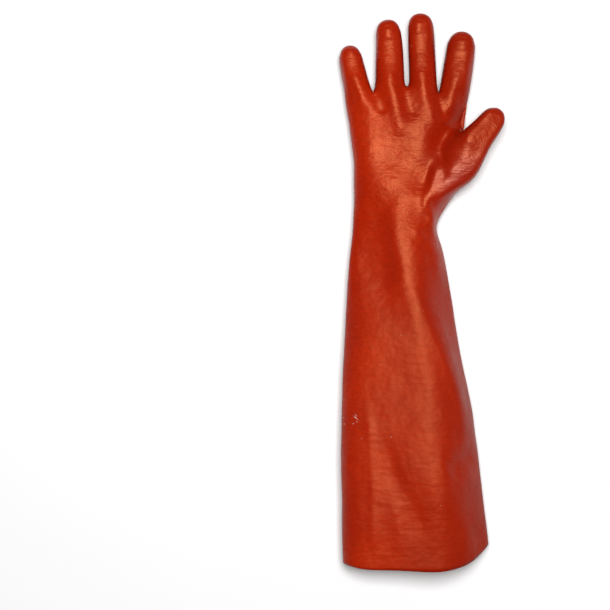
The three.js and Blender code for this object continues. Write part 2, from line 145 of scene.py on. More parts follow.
# Each finger's middle line with its width and depth, at its root, middle and tip.
FINGER_COLUMNS = ("x", "y", "z", "width", "depth")
FINGERS = {
    "index": [(33.8, 214, 16, 30.6, 27), (40.2, 251, 14.5, 30.0, 24), (43.3, 280.2, 20, 27.4, 20)],
    "middle": [(1.0, 214, 16, 29.5, 28), (-0.4, 261, 14.5, 28.2, 25), (-2.0, 300.4, 21, 27.2, 20)],
    "ring": [(-34.4, 214, 16, 30.5, 28), (-34.9, 258, 14.5, 28.6, 25), (-38.0, 293.4, 21, 26.0, 20)],
    "little": [(-68.6, 214, 15, 26.6, 25), (-75.4, 243, 13.5, 24.4, 22), (-78.4, 265.2, 18, 21.6, 18)],
}
FINGER_STEPS = (0.1, 0.32, 0.56, 0.78)

# The thumb leaves the palm between two sections, over its side and part of its top.
THUMB_ROOT_SECTIONS = (14, 17)
THUMB_ROOT_POINTS = 3

# The thumb's middle line from its root on, the way it heads there, its width and depth, and
# how far its section is tilted. Angles are in degrees.
THUMB_COLUMNS = ("x", "y", "z", "heading", "width", "depth", "tilt")
THUMB = [
    (46.8, 144.5, 31, 14, 55, 30, 8),
    (52.2, 155, 34, 30, 42, 28.5, 6),
    (57.1, 163.6, 35.5, 49, 34.5, 27, 3),
    (65.8, 173.6, 35.5, 50, 30.2, 25.5, 0),
]
THUMB_TIP = (82.6, 194.4, 36, 50, 28.6, 24, 0)
THUMB_TWIST = math.radians(-15)

# Rings that round a finger's end: how far back from the tip in half widths, and how wide. The
# face that closes it bulges past the tip, in half widths too.
END_RINGS = [(0.95, 1.0), (0.42, 0.86), (0.07, 0.5)]
END_BEYOND = 0.1

# Folds of the side that faces up. Each follows a line, rises by height, or sinks if below 0,
# fades out towards the little finger's side and the thumb's side over two widths, and fades in
# and out along the line over its first and last fade millimetres.
FOLD_COLUMNS = ("name", "little_side", "thumb_side", "height", "fade", "line")
FOLDS = [
    ("heel_ridge", 7, 8, 1.2, 30,
     [(-12, 10), (0, -18), (12, -48), (27, -78), (38, -110), (46, -150)]),
    ("wrist_dent", 10, 14, -2.6, 20, [(2, 76), (8, 48), (12, 22), (17, -4), (24, -26)]),
    ("dent_streak", 5, 6, 1.6, 10, [(-12, 72), (-2, 60), (7, 50), (13, 38)]),
    ("mound_edge", 6, 24, 3.4, 12, [(19, 144), (16, 133), (12, 122), (6, 110), (3, 96), (5, 82)]),
    ("mound_notch", 5, 5, -2.2, 10, [(23, 154), (21, 141), (22, 128), (20, 116)]),
    ("thumb_tuck", 5, 5, -2.5, 6, [(5, 95), (14, 92), (26, 88)]),
    ("thumb_heel", 7, 4, 3, 8, [(7, 94), (10, 82), (14, 70), (20, 54)]),
    ("palm_hollow", 24, 24, -3, 30, [(-30, 180), (-28, 115)]),
    ("sleeve_valley", 16, 8, -2.2, 30,
     [(-46, -140), (-38, -170), (-32, -190), (-22, -208), (-14, -222), (-6, -240), (4, -266)]),
    ("sleeve_ridge", 5, 6, 1.2, 30,
     [(-62, -120), (-57, -150), (-55, -188), (-54, -231), (-50, -285)]),
    ("second_ridge", 5, 6, 1.2, 25, [(-33, -215), (-28, -240), (-25, -257), (-31, -285)]),
    ("side_notch", 11, 11, -4, 12, [(22, -192), (38, -182), (56, -170)]),
    ("side_valley", 8, 8, -1.6, 30, [(20, -90), (33, -130), (38, -165), (36, -190), (34, -230)]),
    ("little_finger_ridge", 7, 8, 1.8, 14,
     [(-75, 242), (-73, 230), (-66, 210), (-58, 197), (-50, 186)]),
    ("ring_finger_ridge", 8, 8, 2.4, 16,
     [(-37, 246), (-36, 232), (-33, 217), (-30, 202), (-25, 180), (-20, 164)]),
    ("middle_finger_ridge", 8, 8, 2.2, 16,
     [(-3, 246), (-1, 230), (2, 213), (6, 200), (10, 188), (15, 174)]),
    ("index_finger_ridge", 7, 7, 1.2, 14, [(36, 240), (34, 222), (30, 206), (26, 196), (22, 184)]),
    ("little_web_valley", 7, 7, -2.0, 10, [(-54, 220), (-49, 209), (-44, 197), (-42, 188)]),
    ("middle_web_valley", 8, 8, -2.2, 14, [(-17, 228), (-18, 212), (-14, 196), (-9, 180)]),
    ("heel_slope", 20, 5, -3.6, 18, [(6, 146), (3, 124), (-1, 100)]),
    ("thumb_valley", 11, 8, -13, 58,
     [(70, 225), (44, 186), (34, 176), (22, 163), (16, 150), (12, 138), (10, 126)]),
    ("knuckle_rise", 13, 13, 2.6, 10, [(-76, 212), (-36, 215), (0, 214), (42, 209)]),
    ("finger_rise", 18, 18, 2.8, 6, [(-88, 236), (-36, 241), (0, 241), (52, 236)]),
    ("index_web_valley", 7, 8, -2.4, 8, [(17, 224), (18, 208), (20, 196), (23, 182)]),
    ("thumb_ridge", 8, 8, 1.6, 12, [(48, 148), (41, 142), (28, 131), (20, 120)]),
    ("thumb_flat", 13, 9, -2.3, 14, [(88, 192), (76, 178), (66, 165), (57, 152), (48, 138)]),
    ("little_tip_pad", 6, 6, 0.8, 4, [(-78, 264), (-77, 258), (-76, 252)]),
    ("ring_tip_pad", 6, 6, 0.9, 4, [(-39, 285), (-38, 277), (-38, 270)]),
    ("middle_tip_pad", 6, 6, 0.9, 4, [(-5, 292), (-5, 284), (-4, 276)]),
    ("index_tip_pad", 6, 6, 0.9, 4, [(42, 273), (42, 266), (41, 258)]),
]

# Folds are full where the surface faces up by more than the first and gone below the second.
FOLDS_FULL_ABOVE = 0.5
FOLDS_NONE_BELOW = -0.2

# Wide and close waves of the vinyl: how far they rise, their length on each axis, and where in
# the noise they start. They fade in between two heights over the surface below the glove.
WAVE_COLUMNS = ("rise", "across", "along", "up", "start")
WAVES = [
    (1.5, 46, 70, 40, 0),
    (0.5, 19, 26, 19, 7),
]
WAVES_FADE_IN = (4, 16)

# The hollow between the thumb and the index finger, by its middle and its radius.
THUMB_WEB = (38, 166, 13)
THUMB_WEB_PASSES = 14

# The knit turns to follow the thumb: it starts to and is all turned this far along it, and
# starts to turn back and is back this far across it.
KNIT_TURNS_ALONG = (-6, 16)
KNIT_TURNS_BACK = (14, 26)

# The reds of the outer face, the cut rim and the inner face, the scuffs, and the gloss. DARK_RED is
# the knit's mottle and also the painted shade towards the thumb's side.
DEEP_RED = (0.31, 0.009, 0.0003, 1)
BRIGHT_RED = (0.38, 0.014, 0.0006, 1)
DARK_RED = (0.17, 0.0035, 0.0002, 1)
RIM_RED = (0.6, 0.05, 0.01, 1)
INSIDE_RED = (0.42, 0.05, 0.02, 1)
INSIDE_PALE = (0.5, 0.09, 0.045, 1)
INSIDE_DARK = (0.26, 0.02, 0.01, 1)
SCUFF_WHITE = (0.75, 0.62, 0.55, 1)
HIGHLIGHT_TINT = (1.0, 0.38, 0.16, 1)
MOUND_TINT = (1.0, 0.52, 0.38, 1)

# Where the mound of the thumb begins across the glove, and begins and ends along it, in metres.
MOUND_ACROSS = (0.0, 0.035)
MOUND_BEGINS = (0.06, 0.1)
MOUND_ENDS = (0.12, 0.165)

# White scratches and nicks of the vinyl, seen from above.
SCUFF_COLUMNS = ("x", "y", "length", "width", "turn", "strength")
SCUFFS = [
    (-71.6, -135.0, 7.4, 0.8, -38, 0.95),
    (-71.4, -132.4, 3.0, 0.7, -52, 0.7),
    (-74.2, -141.4, 2.2, 0.8, 35, 0.6),
    (-70.2, -139.2, 2.6, 0.6, -30, 0.5),
    (-83.6, -142.2, 2.0, 0.9, 60, 0.6),
    (-85.0, -135.4, 1.8, 1.0, 20, 0.6),
    (-65.6, -157.0, 1.4, 0.8, 0, 0.5),
    (-34.2, -154.8, 1.6, 0.9, 30, 0.55),
]


def row(columns, values):
    """A table's row by its column names."""
    return dict(zip(columns, values))


def ring_swell(count):
    """Smoothing pulls a ring of this many points inwards, so its points start further out."""
    return 3 / (2 + math.cos(2 * math.pi / count))


def section_places(values):
    """Points round one section: round above its waist and flatter below it."""
    section = row(SECTION_COLUMNS, values)
    swell = ring_swell(BODY_POINTS)
    half = (section["right"] - section["left"]) / 2
    places = []
    for i in range(BODY_POINTS):
        angle = i / BODY_POINTS * 2 * math.pi
        across = math.cos(angle)
        rise = math.sin(angle)
        rise = math.copysign(abs(rise) ** (2 / SECTION_FULLNESS), rise)
        above = section["top"] - section["waist"]
        below = section["waist"] - section["under"]
        reach = above if rise > 0 else below
        lean = section["lean"] * (0.5 + 0.5 * across) ** 2
        places.append(Vector((
            section["left"] + half + across * half * swell,
            section["y"] + lean,
            section["waist"] + rise * reach * swell,
        )))
    facets, share = facet_places(section)
    for i, (x, z) in enumerate(facets):
        places[i].x += (x - places[i].x) * share
        places[i].z += (z - places[i].z) * share
    # The underside on the thumb's side rises or sinks with the foot of the wall.
    foot = facets[0][1]
    for i in range(BODY_POINTS // 2 + 1, BODY_POINTS):
        across = math.cos(i / BODY_POINTS * 2 * math.pi)
        fall = (places[i].z - section["under"]) / (section["waist"] - section["under"])
        places[i].z += (foot - section["waist"]) * share * fall * (0.5 + 0.5 * across)
    return places


def facet_places(section):
    """Places across the section's upper side, from the foot of its wall to its left edge."""
    ys = [values[0] for values in FACETS]
    share, shoulder_x, shoulder_z, step_x, step_z, crest_x, band, edge_x, edge_z, foot = (
        float(np.interp(section["y"], ys, [values[i] for values in FACETS]))
        for i in range(1, len(FACET_COLUMNS))
    )
    half = (section["right"] - section["left"]) * (ring_swell(BODY_POINTS) - 1) / 2
    outline = [
        Vector((section["right"] + half, foot)),
        Vector((edge_x, edge_z)),
        Vector((crest_x + band, section["top"])),
        Vector((crest_x, section["top"])),
        Vector((step_x, step_z)),
        Vector((shoulder_x, shoulder_z)),
        Vector((section["left"] - half, section["waist"])),
    ]
    places = [
        outline[stretch].lerp(outline[stretch + 1], along) for stretch, along in FACET_POINTS
    ]
    places[-2] += Vector((-1, 1)) * SHOULDER_BULGE * (shoulder_z - section["waist"])
    return places, share


def squarish(value):
    return math.copysign(abs(value) ** (2 / TUBE_FULLNESS), value)


def tube_places(centre, along, width, depth, count, turn=0, tilt=0):
    """Points round a tube's middle line, in the plane that the line crosses squarely."""
    side = along.cross(Vector((0, 0, 1))).normalized()
    up = side.cross(along).normalized()
    side, up = (
        side * math.cos(tilt) - up * math.sin(tilt),
        up * math.cos(tilt) + side * math.sin(tilt),
    )
    swell = ring_swell(count)
    places = []
    for i in range(count):
        angle = i / count * 2 * math.pi + turn
        reach_side = side * squarish(math.cos(angle)) * swell * width / 2
        places.append(centre + reach_side + up * squarish(math.sin(angle)) * swell * depth / 2)
    return places


def only_selected(mesh, wanted):
    """Selects the cage's points whose mark is wanted, and the edges between them."""
    bpy.ops.mesh.select_all(action="DESELECT")
    cage = bmesh.from_edit_mesh(mesh)
    mark = cage.verts.layers.int["mark"]
    for vert in cage.verts:
        vert.select = vert[mark] in wanted
    cage.select_flush_mode()
    bmesh.update_edit_mesh(mesh)


def loop_selected(mesh, marks):
    """Selects one closed loop of edges through the points with these marks, in order."""
    bpy.ops.mesh.select_all(action="DESELECT")
    bpy.ops.mesh.select_mode(type="EDGE")
    cage = bmesh.from_edit_mesh(mesh)
    mark = cage.verts.layers.int["mark"]
    steps = {frozenset(pair) for pair in zip(marks, marks[1:] + marks[:1])}
    for edge in cage.edges:
        edge.select = frozenset(vert[mark] for vert in edge.verts) in steps
    bmesh.update_edit_mesh(mesh)


def extrude_ring(mesh, places, marks):
    """Extrudes the selected loop. Each new point goes to its place and takes its new mark."""
    bpy.ops.mesh.extrude_region_move()
    cage = bmesh.from_edit_mesh(mesh)
    mark = cage.verts.layers.int["mark"]
    for vert in cage.verts:
        if vert.select:
            new_mark, place = marks[vert[mark]], places[vert[mark]]
            vert.co = place * MM
            vert[mark] = new_mark
    bmesh.update_edit_mesh(mesh)


# Every point of the cage has a mark, so that it can be found again. The marks of the body,
# the webs and the tubes don't overlap.
def body_mark(section, point):
    return section * 100 + point % BODY_POINTS


def web_mark(web):
    return 9000 + web


def tube_mark(tube, point):
    return tube * 10000 + point


def sleeve_and_hand(mesh):
    """The body of the cage, from the cuff to the ring where the fingers part."""
    cage = bmesh.from_edit_mesh(mesh)
    mark = cage.verts.layers.int.new("mark")
    ordered = sorted(cage.verts, key=lambda vert: math.atan2(vert.co.y, vert.co.x) % (2 * math.pi))
    places = section_places(SECTIONS[0])
    hem = row(HEM_COLUMNS, zip(*HEM))
    for point, vert in enumerate(ordered):
        place = places[point]
        vert.co = Vector((place.x, np.interp(place.x, hem["x"], hem["y"]), place.z)) * MM
        vert[mark] = body_mark(0, point)
    bmesh.update_edit_mesh(mesh)
    bpy.ops.mesh.select_all(action="SELECT")
    for section in range(1, len(SECTIONS)):
        places = section_places(SECTIONS[section])
        extrude_ring(
            mesh,
            {body_mark(section - 1, i): places[i] for i in range(BODY_POINTS)},
            {body_mark(section - 1, i): body_mark(section, i) for i in range(BODY_POINTS)},
        )


def upper_points(number):
    """The knuckle ring's points over a finger. Those over a web belong to both its fingers."""
    return [FINGER_STRIDE * number + i for i in (1, 2, 3)]


def webs(mesh):
    """Pulls the knuckle ring into the webs and joins each web's top and bottom by an edge."""
    last = len(SECTIONS) - 1
    for web, (x, y) in enumerate(WEBS):
        above = upper_points(web)[-1]
        ends = (body_mark(last, above), body_mark(last, BODY_POINTS - above))
        bpy.ops.mesh.select_mode(type="VERT")
        only_selected(mesh, ends)
        cage = bmesh.from_edit_mesh(mesh)
        for vert in cage.verts:
            if vert.select:
                height = ROOT_WAIST + (vert.co.z / MM - ROOT_WAIST) * WEB_PINCH
                vert.co = Vector((x, y - ROOT_BEHIND_WEB, height)) * MM
        bmesh.update_edit_mesh(mesh)
        bpy.ops.mesh.edge_face_add()
        bpy.ops.mesh.subdivide(number_cuts=1)
        cage = bmesh.from_edit_mesh(mesh)
        mark = cage.verts.layers.int["mark"]
        for vert in cage.verts:
            # Of the edge's three points only the one that halves it has no other edges.
            if vert.select and len(vert.link_edges) == 2:
                vert.co = Vector((x, y, ROOT_WAIST)) * MM
                vert[mark] = web_mark(web)
        bmesh.update_edit_mesh(mesh)


def grow_tube(mesh, tube, root_marks, rings):
    """Extrudes a tube out of a loop of the cage, ring by ring."""
    loop_selected(mesh, root_marks)
    marks = list(root_marks)
    for places in rings:
        new_marks = [tube_mark(tube, i) for i in range(len(marks))]
        extrude_ring(mesh, dict(zip(marks, places)), dict(zip(marks, new_marks)))
        marks = new_marks


def close_end(mesh, tube, count, beyond):
    """Fills a tube's end with a square grid of faces and pushes its inner points outwards."""
    side = count // 4
    corner = int(side / 2 + 0.5)
    cage = bmesh.from_edit_mesh(mesh)
    mark = cage.verts.layers.int["mark"]
    cage.select_history.clear()
    for vert in cage.verts:
        if vert.select and vert[mark] == tube_mark(tube, corner):
            cage.select_history.add(vert)
    bmesh.update_edit_mesh(mesh)
    bpy.ops.mesh.fill_grid(span=side, offset=0)
    cage = bmesh.from_edit_mesh(mesh)
    ring = [vert for vert in cage.verts if vert.select]
    inner = [vert for vert in ring if all(face.select for face in vert.link_faces)]
    middle = sum((vert.co for vert in ring if vert not in inner), Vector()) / (len(ring) - len(inner))
    for vert in inner:
        vert.co += beyond * MM - middle
    bmesh.update_edit_mesh(mesh)


def end_places(tip, along, width, depth, count, turn=0):
    """The rings that round a tube's end, and the place that its last face bulges to."""
    rings = []
    for back, size in END_RINGS:
        centre = tip - along * back * width / 2
        rings.append(tube_places(centre, along, width * size, depth * size, count, turn))
    return rings, tip + along * END_BEYOND * width / 2


def catmull_rom(points, share):
    """A point and direction on the curve through these points, as far along as share."""
    spans = len(points) - 1
    span = min(int(share * spans), spans - 1)
    t = share * spans - span
    p1, p2 = points[span], points[span + 1]
    p0 = points[span - 1] if span > 0 else p1 + (p1 - p2)
    p3 = points[span + 2] if span + 2 <= spans else p2 + (p2 - p1)
    knots = [0, 0, 0, 0]
    for i, (a, b) in enumerate(((p0, p1), (p1, p2), (p2, p3))):
        knots[i + 1] = (a - b).length ** 0.5
    d01, d12, d23 = knots[1], knots[2], knots[3]
    out = (p1 - p0) / d01 - (p2 - p0) / (d01 + d12) + (p2 - p1) / d12
    into = (p2 - p1) / d12 - (p3 - p1) / (d12 + d23) + (p3 - p2) / d23
    out, into = out * d12, into * d12
    c2 = 3 * (p2 - p1) - 2 * out - into
    c3 = 2 * (p1 - p2) + out + into
    place = p1 + out * t + c2 * t * t + c3 * t ** 3
    way = out + c2 * 2 * t + c3 * 3 * t * t
    return place, way.normalized()


def through(values, t):
    """The value at t of the parabola through a root, a middle and a tip value."""
    root, middle, tip = values
    return root * (1 - t) * (1 - 2 * t) + middle * 4 * t * (1 - t) + tip * t * (2 * t - 1)


def finger(mesh, number, stations):
    rows = [row(FINGER_COLUMNS, station) for station in stations]
    line = [Vector((r["x"], r["y"], r["z"])) for r in rows]
    rings = []
    for t in FINGER_STEPS:
        centre, along = catmull_rom(line, t)
        width = through([r["width"] for r in rows], t)
        depth = through([r["depth"] for r in rows], t)
        rings.append(tube_places(centre, along, width, depth, FINGER_POINTS))
    tip, along = catmull_rom(line, 1)
    end, beyond = end_places(tip, along, rows[2]["width"], rows[2]["depth"], FINGER_POINTS)
    last = len(SECTIONS) - 1
    sides = [body_mark(last, 0)] + [web_mark(web) for web in range(len(WEBS))]
    sides.append(body_mark(last, BODY_POINTS // 2))
    over = [body_mark(last, point) for point in upper_points(number)]
    under = [body_mark(last, BODY_POINTS - point) for point in reversed(upper_points(number))]
    root = [sides[number], *over, sides[number + 1], *under]
    tube = number + 1
    grow_tube(mesh, tube, root, rings + end)
    close_end(mesh, tube, FINGER_POINTS, beyond)


def thumb(mesh):
    first, last = THUMB_ROOT_SECTIONS
    side = THUMB_ROOT_POINTS
    root = [body_mark(first, i) for i in range(1, side + 1)]
    root += [body_mark(section, side) for section in range(first + 1, last + 1)]
    root += [body_mark(last, i) for i in range(side - 1, -1, -1)]
    root += [body_mark(section, 0) for section in range(last - 1, first - 1, -1)]
    opened = {body_mark(s, i) for s in range(first, last + 1) for i in range(side + 1)}
    bpy.ops.mesh.select_mode(type="FACE")
    bpy.ops.mesh.select_all(action="DESELECT")
    cage = bmesh.from_edit_mesh(mesh)
    mark = cage.verts.layers.int["mark"]
    for face in cage.faces:
        face.select = all(vert[mark] in opened for vert in face.verts)
    bmesh.update_edit_mesh(mesh)
    bpy.ops.mesh.delete(type="FACE")

    steps = [row(THUMB_COLUMNS, values) for values in THUMB + [THUMB_TIP]]
    rings = []
    for step in steps:
        step["centre"] = Vector((step["x"], step["y"], step["z"]))
        heading = math.radians(step["heading"])
        step["along"] = Vector((math.cos(heading), math.sin(heading), 0))
    for step in steps[:-1]:
        rings.append(tube_places(
            step["centre"], step["along"], step["width"], step["depth"], THUMB_POINTS, THUMB_TWIST,
            math.radians(step["tilt"]),
        ))
    tip = steps[-1]
    end, beyond = end_places(
        tip["centre"], tip["along"], tip["width"], tip["depth"], THUMB_POINTS, THUMB_TWIST,
    )
    tube = len(FINGERS) + 1
    grow_tube(mesh, tube, root, rings + end)
    close_end(mesh, tube, THUMB_POINTS, beyond)


def glove_cage():
    bpy.ops.object.select_all(action="DESELECT")
    bpy.ops.mesh.primitive_circle_add(vertices=BODY_POINTS, radius=80 * MM, fill_type="NOTHING")
    glove = bpy.context.object
    glove.name = "glove"
    glove.data.name = "glove"
    bpy.ops.object.mode_set(mode="EDIT")
    bpy.ops.mesh.select_mode(type="EDGE")
    mesh = glove.data
    sleeve_and_hand(mesh)
    webs(mesh)
    for number, stations in enumerate(FINGERS.values()):
        finger(mesh, number, stations)
    thumb(mesh)
    bpy.ops.mesh.select_all(action="SELECT")
    bpy.ops.mesh.normals_make_consistent(inside=False)
    bpy.ops.object.mode_set(mode="OBJECT")
    return glove


def apply_modifier(piece, kind, **settings):
    bpy.context.view_layer.objects.active = piece
    bpy.ops.object.modifier_add(type=kind)
    modifier = piece.modifiers[-1]
    for name, value in settings.items():
        setattr(modifier, name, value)
    bpy.ops.object.modifier_apply(modifier=modifier.name)


def points_and_normals(mesh):
    points = np.empty(len(mesh.vertices) * 3)
    normals = np.empty(len(mesh.vertices) * 3)
    mesh.vertices.foreach_get("co", points)
    mesh.vertex_normals.foreach_get("vector", normals)
    return points.reshape(-1, 3), normals.reshape(-1, 3)


def smooth_line(line, steps=8):
    """The fold's line as a rounded curve through its points."""
    knots = [Vector((x, y, 0)) for x, y in line]
    count = steps * (len(knots) - 1)
    return np.array([catmull_rom(knots, i / count)[0][:2] for i in range(count + 1)])


def fold_strength(points, line, little_side, thumb_side, fade):
    """1 on a fold's line, fading out to both sides and towards both ends."""
    curve = smooth_line(line)
    lengths = np.linalg.norm(np.diff(curve, axis=0), axis=1)
    starts = np.concatenate([[0], np.cumsum(lengths)])
    least = np.full(len(points), np.inf)
    nearest_x = np.zeros(len(points))
    gone = np.zeros(len(points))
    for i, (start, stop) in enumerate(zip(curve, curve[1:])):
        way = stop - start
        offset = points[:, :2] - start
        share = np.clip(offset @ way / (way @ way), 0, 1)
        offset = offset - share[:, None] * way
        distance = np.linalg.norm(offset, axis=1)
        closer = distance < least
        least[closer] = distance[closer]
        nearest_x[closer] = offset[closer, 0]
        gone[closer] = starts[i] + share[closer] * lengths[i]
    thumb_share = smoothstep(-1, 1, nearest_x / np.maximum(least, 0.01))
    width = little_side + (thumb_side - little_side) * thumb_share
    ends = smoothstep(0, fade, gone) * smoothstep(0, fade, starts[-1] - gone)
    return np.exp(-((least / width) ** 2)) * ends


def smoothstep(low, high, values):
    share = np.clip((values - low) / (high - low), 0, 1)
    return share * share * (3 - 2 * share)


def crease(glove):
    """Presses the folds into the side that faces up and flattens what lies on the surface."""
    mesh = glove.data
    points, normals = points_and_normals(mesh)
    facing = smoothstep(FOLDS_NONE_BELOW, FOLDS_FULL_ABOVE, normals[:, 2])
    rise = np.zeros(len(points))
    for values in FOLDS:
        fold = row(FOLD_COLUMNS, values)
        strength = fold_strength(
            points / MM, fold["line"], fold["little_side"], fold["thumb_side"], fold["fade"],
        )
        rise += fold["height"] * strength
    points[:, 2] = np.maximum(points[:, 2] + rise * facing * MM, 0)
    mesh.vertices.foreach_set("co", points.ravel())
    mesh.update()


def soften_thumb_web(glove):
    """Smooths the hollow between the index finger and the thumb, which stretches over it."""
    group = glove.vertex_groups.new(name="thumb_web")
    points, _ = points_and_normals(glove.data)
    away = np.linalg.norm(points[:, :2] / MM - THUMB_WEB[:2], axis=1) / THUMB_WEB[2]
    for index in np.nonzero(away < 2)[0]:
        group.add([int(index)], math.exp(-away[index] ** 2), "REPLACE")
    apply_modifier(
        glove, "SMOOTH", factor=0.5, iterations=THUMB_WEB_PASSES, vertex_group="thumb_web",
    )


def undulate(glove):
    """Gives the vinyl the soft unevenness of a dipped skin, except next to the surface."""
    mesh = glove.data
    points, normals = points_and_normals(mesh)
    rises = np.zeros(len(points))
    for values in WAVES:
        wave = row(WAVE_COLUMNS, values)
        for i, (x, y, z) in enumerate(points / MM):
            place = (x / wave["across"] + wave["start"], y / wave["along"], z / wave["up"])
            rises[i] += wave["rise"] * noise.noise(Vector(place))
    rises *= smoothstep(*WAVES_FADE_IN, points[:, 2] / MM)
    points = points + normals * (rises * MM)[:, None]
    mesh.vertices.foreach_set("co", points.ravel())
    mesh.update()


def centre_on_frame(glove):
    """Moves the glove so that its outline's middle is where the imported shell's is."""
    low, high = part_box("glove_shell")
    corners = [Vector(corner) for corner in glove.bound_box]
    for axis in (0, 1):
        middle = (min(c[axis] for c in corners) + max(c[axis] for c in corners)) / 2
        shift = (low[axis] + high[axis]) / 2 - middle
        for vert in glove.data.vertices:
            vert.co[axis] += shift


def lay_knit(glove):
    """Stores the pattern's coordinates: across and along the glove, and along the thumb."""
    points, _ = points_and_normals(glove.data)
    thumb_root, thumb_joint = (row(THUMB_COLUMNS, values) for values in THUMB[:2])
    pivot = np.array([thumb_root["x"], thumb_root["y"]]) * MM
    heading = math.radians(thumb_joint["heading"])
    offset = points[:, :2] - pivot
    along_thumb = offset @ np.array([math.cos(heading), math.sin(heading)]) / MM
    across_thumb = offset @ np.array([-math.sin(heading), math.cos(heading)]) / MM
    share = smoothstep(*KNIT_TURNS_ALONG, along_thumb)
    share = share * (1 - smoothstep(*KNIT_TURNS_BACK, across_thumb))
    turn = share * (math.pi / 2 - heading)
    knit = points.copy()
    knit[:, 0] = offset[:, 0] * np.cos(turn) - offset[:, 1] * np.sin(turn)
    knit[:, 1] = offset[:, 0] * np.sin(turn) + offset[:, 1] * np.cos(turn)
    layer = glove.data.attributes.new("knit", "FLOAT_VECTOR", "POINT")
    layer.data.foreach_set("vector", knit.ravel())


class Shading:
    """A material's nodes, made and joined in one call each."""

    def __init__(self, name):
        self.material = bpy.data.materials.new(name)
        self.material.use_nodes = True
        self.tree = self.material.node_tree
        self.shader = self.tree.nodes["Principled BSDF"]

    def node(self, kind, inputs=(), **settings):
        made = self.tree.nodes.new("ShaderNode" + kind)
        for key, value in settings.items():
            setattr(made, key, value)
        for key, value in dict(inputs).items():
            if isinstance(value, bpy.types.NodeSocket):
                self.tree.links.new(value, made.inputs[key])
            else:
                made.inputs[key].default_value = value
        return made

    def object_place(self):
        return self.node("TexCoord").outputs["Object"]

    def axis(self, place, name):
        return self.node("SeparateXYZ", {"Vector": place}).outputs[name]

    def attribute(self, name):
        return self.node("Attribute", attribute_name=name).outputs["Vector"]

    def stretched(self, place, scale):
        return self.node("Mapping", {"Vector": place, "Scale": scale}).outputs["Vector"]

    def noise(self, place, scale, detail=2.0, roughness=0.5):
        made = self.node(
            "TexNoise", {"Vector": place, "Scale": scale, "Detail": detail, "Roughness": roughness},
        )
        return made.outputs["Fac"]

    def ranged(self, value, low, high, out_low=0.0, out_high=1.0):
        made = self.node("MapRange", {
            "Value": value, "From Min": low, "From Max": high, "To Min": out_low, "To Max": out_high,
        })
        return made.outputs["Result"]

    def maths(self, operation, a, b):
        return self.node("Math", {0: a, 1: b}, operation=operation).outputs["Value"]

    def mixed(self, share, a, b):
        """Two colours mixed. The node's colour sockets are 6 and 7, and 2 on its other side."""
        made = self.node("Mix", {0: share, 6: a, 7: b}, data_type="RGBA")
        return made.outputs[2]

    def bumped(self, height, depth, normal=None):
        inputs = {"Height": height, "Distance": depth, "Strength": 1.0}
        if normal is not None:
            inputs["Normal"] = normal
        return self.node("Bump", inputs).outputs["Normal"]

    def into(self, name, value):
        if isinstance(value, bpy.types.NodeSocket):
            self.tree.links.new(value, self.shader.inputs[name])
        else:
            self.shader.inputs[name].default_value = value


def vinyl_outside():
    """Glossy dipped vinyl: the knit under it shows as soft ripples across the glove."""
    look = Shading("vinyl_outside")
    place = look.object_place()
    knit = look.attribute("knit")
    stretched_knit = look.stretched(knit, (170.0, 430.0, 220.0))
    ripples = look.noise(stretched_knit, scale=1.0, detail=2.0, roughness=0.6)
    scuffed = scuff_marks(look, place)
    look.into("Base Color", outside_colour(look, place, ripples, scuffed))
    outside_gloss(look, place, scuffed)
    look.into("Normal", outside_relief(look, place, knit, ripples))
    return look.material


def outside_colour(look, place, ripples, scuffed):
    """Patchy red with painted shade that darkens it towards the thumb's side, rare pale flecks and the
    scuffs.
    """
    patches = look.ranged(look.noise(place, scale=15.0, detail=3.0), 0.35, 0.65)
    tone = look.mixed(patches, DEEP_RED, BRIGHT_RED)
    # Painted shade: the red is mixed towards DARK_RED on the thumb's side, where less light falls.
    painted_shade_to_thumb = look.ranged(look.axis(place, "X"), -0.06, 0.05, 0.0, 0.5)
    tone = look.mixed(painted_shade_to_thumb, tone, DARK_RED)
    mottled = look.mixed(look.ranged(ripples, 0.35, 0.65, 0.0, 0.32), tone, DARK_RED)
    cells = look.node("TexVoronoi", {"Vector": place, "Scale": 170.0}, feature="F1").outputs
    near_middle = look.ranged(cells["Distance"], 0.05, 0.09, 1.0, 0.0)
    lot = look.node("SeparateColor", {"Color": cells["Color"]}).outputs["Red"]
    few = look.ranged(lot, 0.985, 0.99)
    fleck = look.maths("MULTIPLY", look.maths("MULTIPLY", near_middle, few), 0.5)
    flecked = look.mixed(fleck, mottled, SCUFF_WHITE)
    return look.mixed(scuffed, flecked, SCUFF_WHITE)


def outside_gloss(look, place, scuffed):
    """Worn unevenly, duller on the sleeve and the scuffs, and paler on the thumb's mound."""
    along = look.axis(place, "Y")
    long_place = look.stretched(place, (60.0, 30.0, 60.0))
    wear = look.noise(long_place, scale=1.0, detail=4.0, roughness=0.6)
    on_scuffs = look.maths("MULTIPLY", scuffed, 0.3)
    dulled = look.maths("ADD", on_scuffs, look.ranged(along, -0.06, 0.1, 0.1, 0.0))
    look.into("Roughness", look.maths("ADD", look.ranged(wear, 0.3, 0.7, 0.34, 0.44), dulled))
    mound = look.ranged(look.axis(place, "X"), *MOUND_ACROSS)
    mound = look.maths("MULTIPLY", mound, look.ranged(along, *MOUND_BEGINS))
    mound = look.maths("MULTIPLY", mound, look.ranged(along, *MOUND_ENDS, 1.0, 0.0))
    look.into("Specular Tint", look.mixed(mound, HIGHLIGHT_TINT, MOUND_TINT))
    look.into("Specular IOR Level", look.ranged(mound, 0.0, 1.0, 0.5, 0.75))


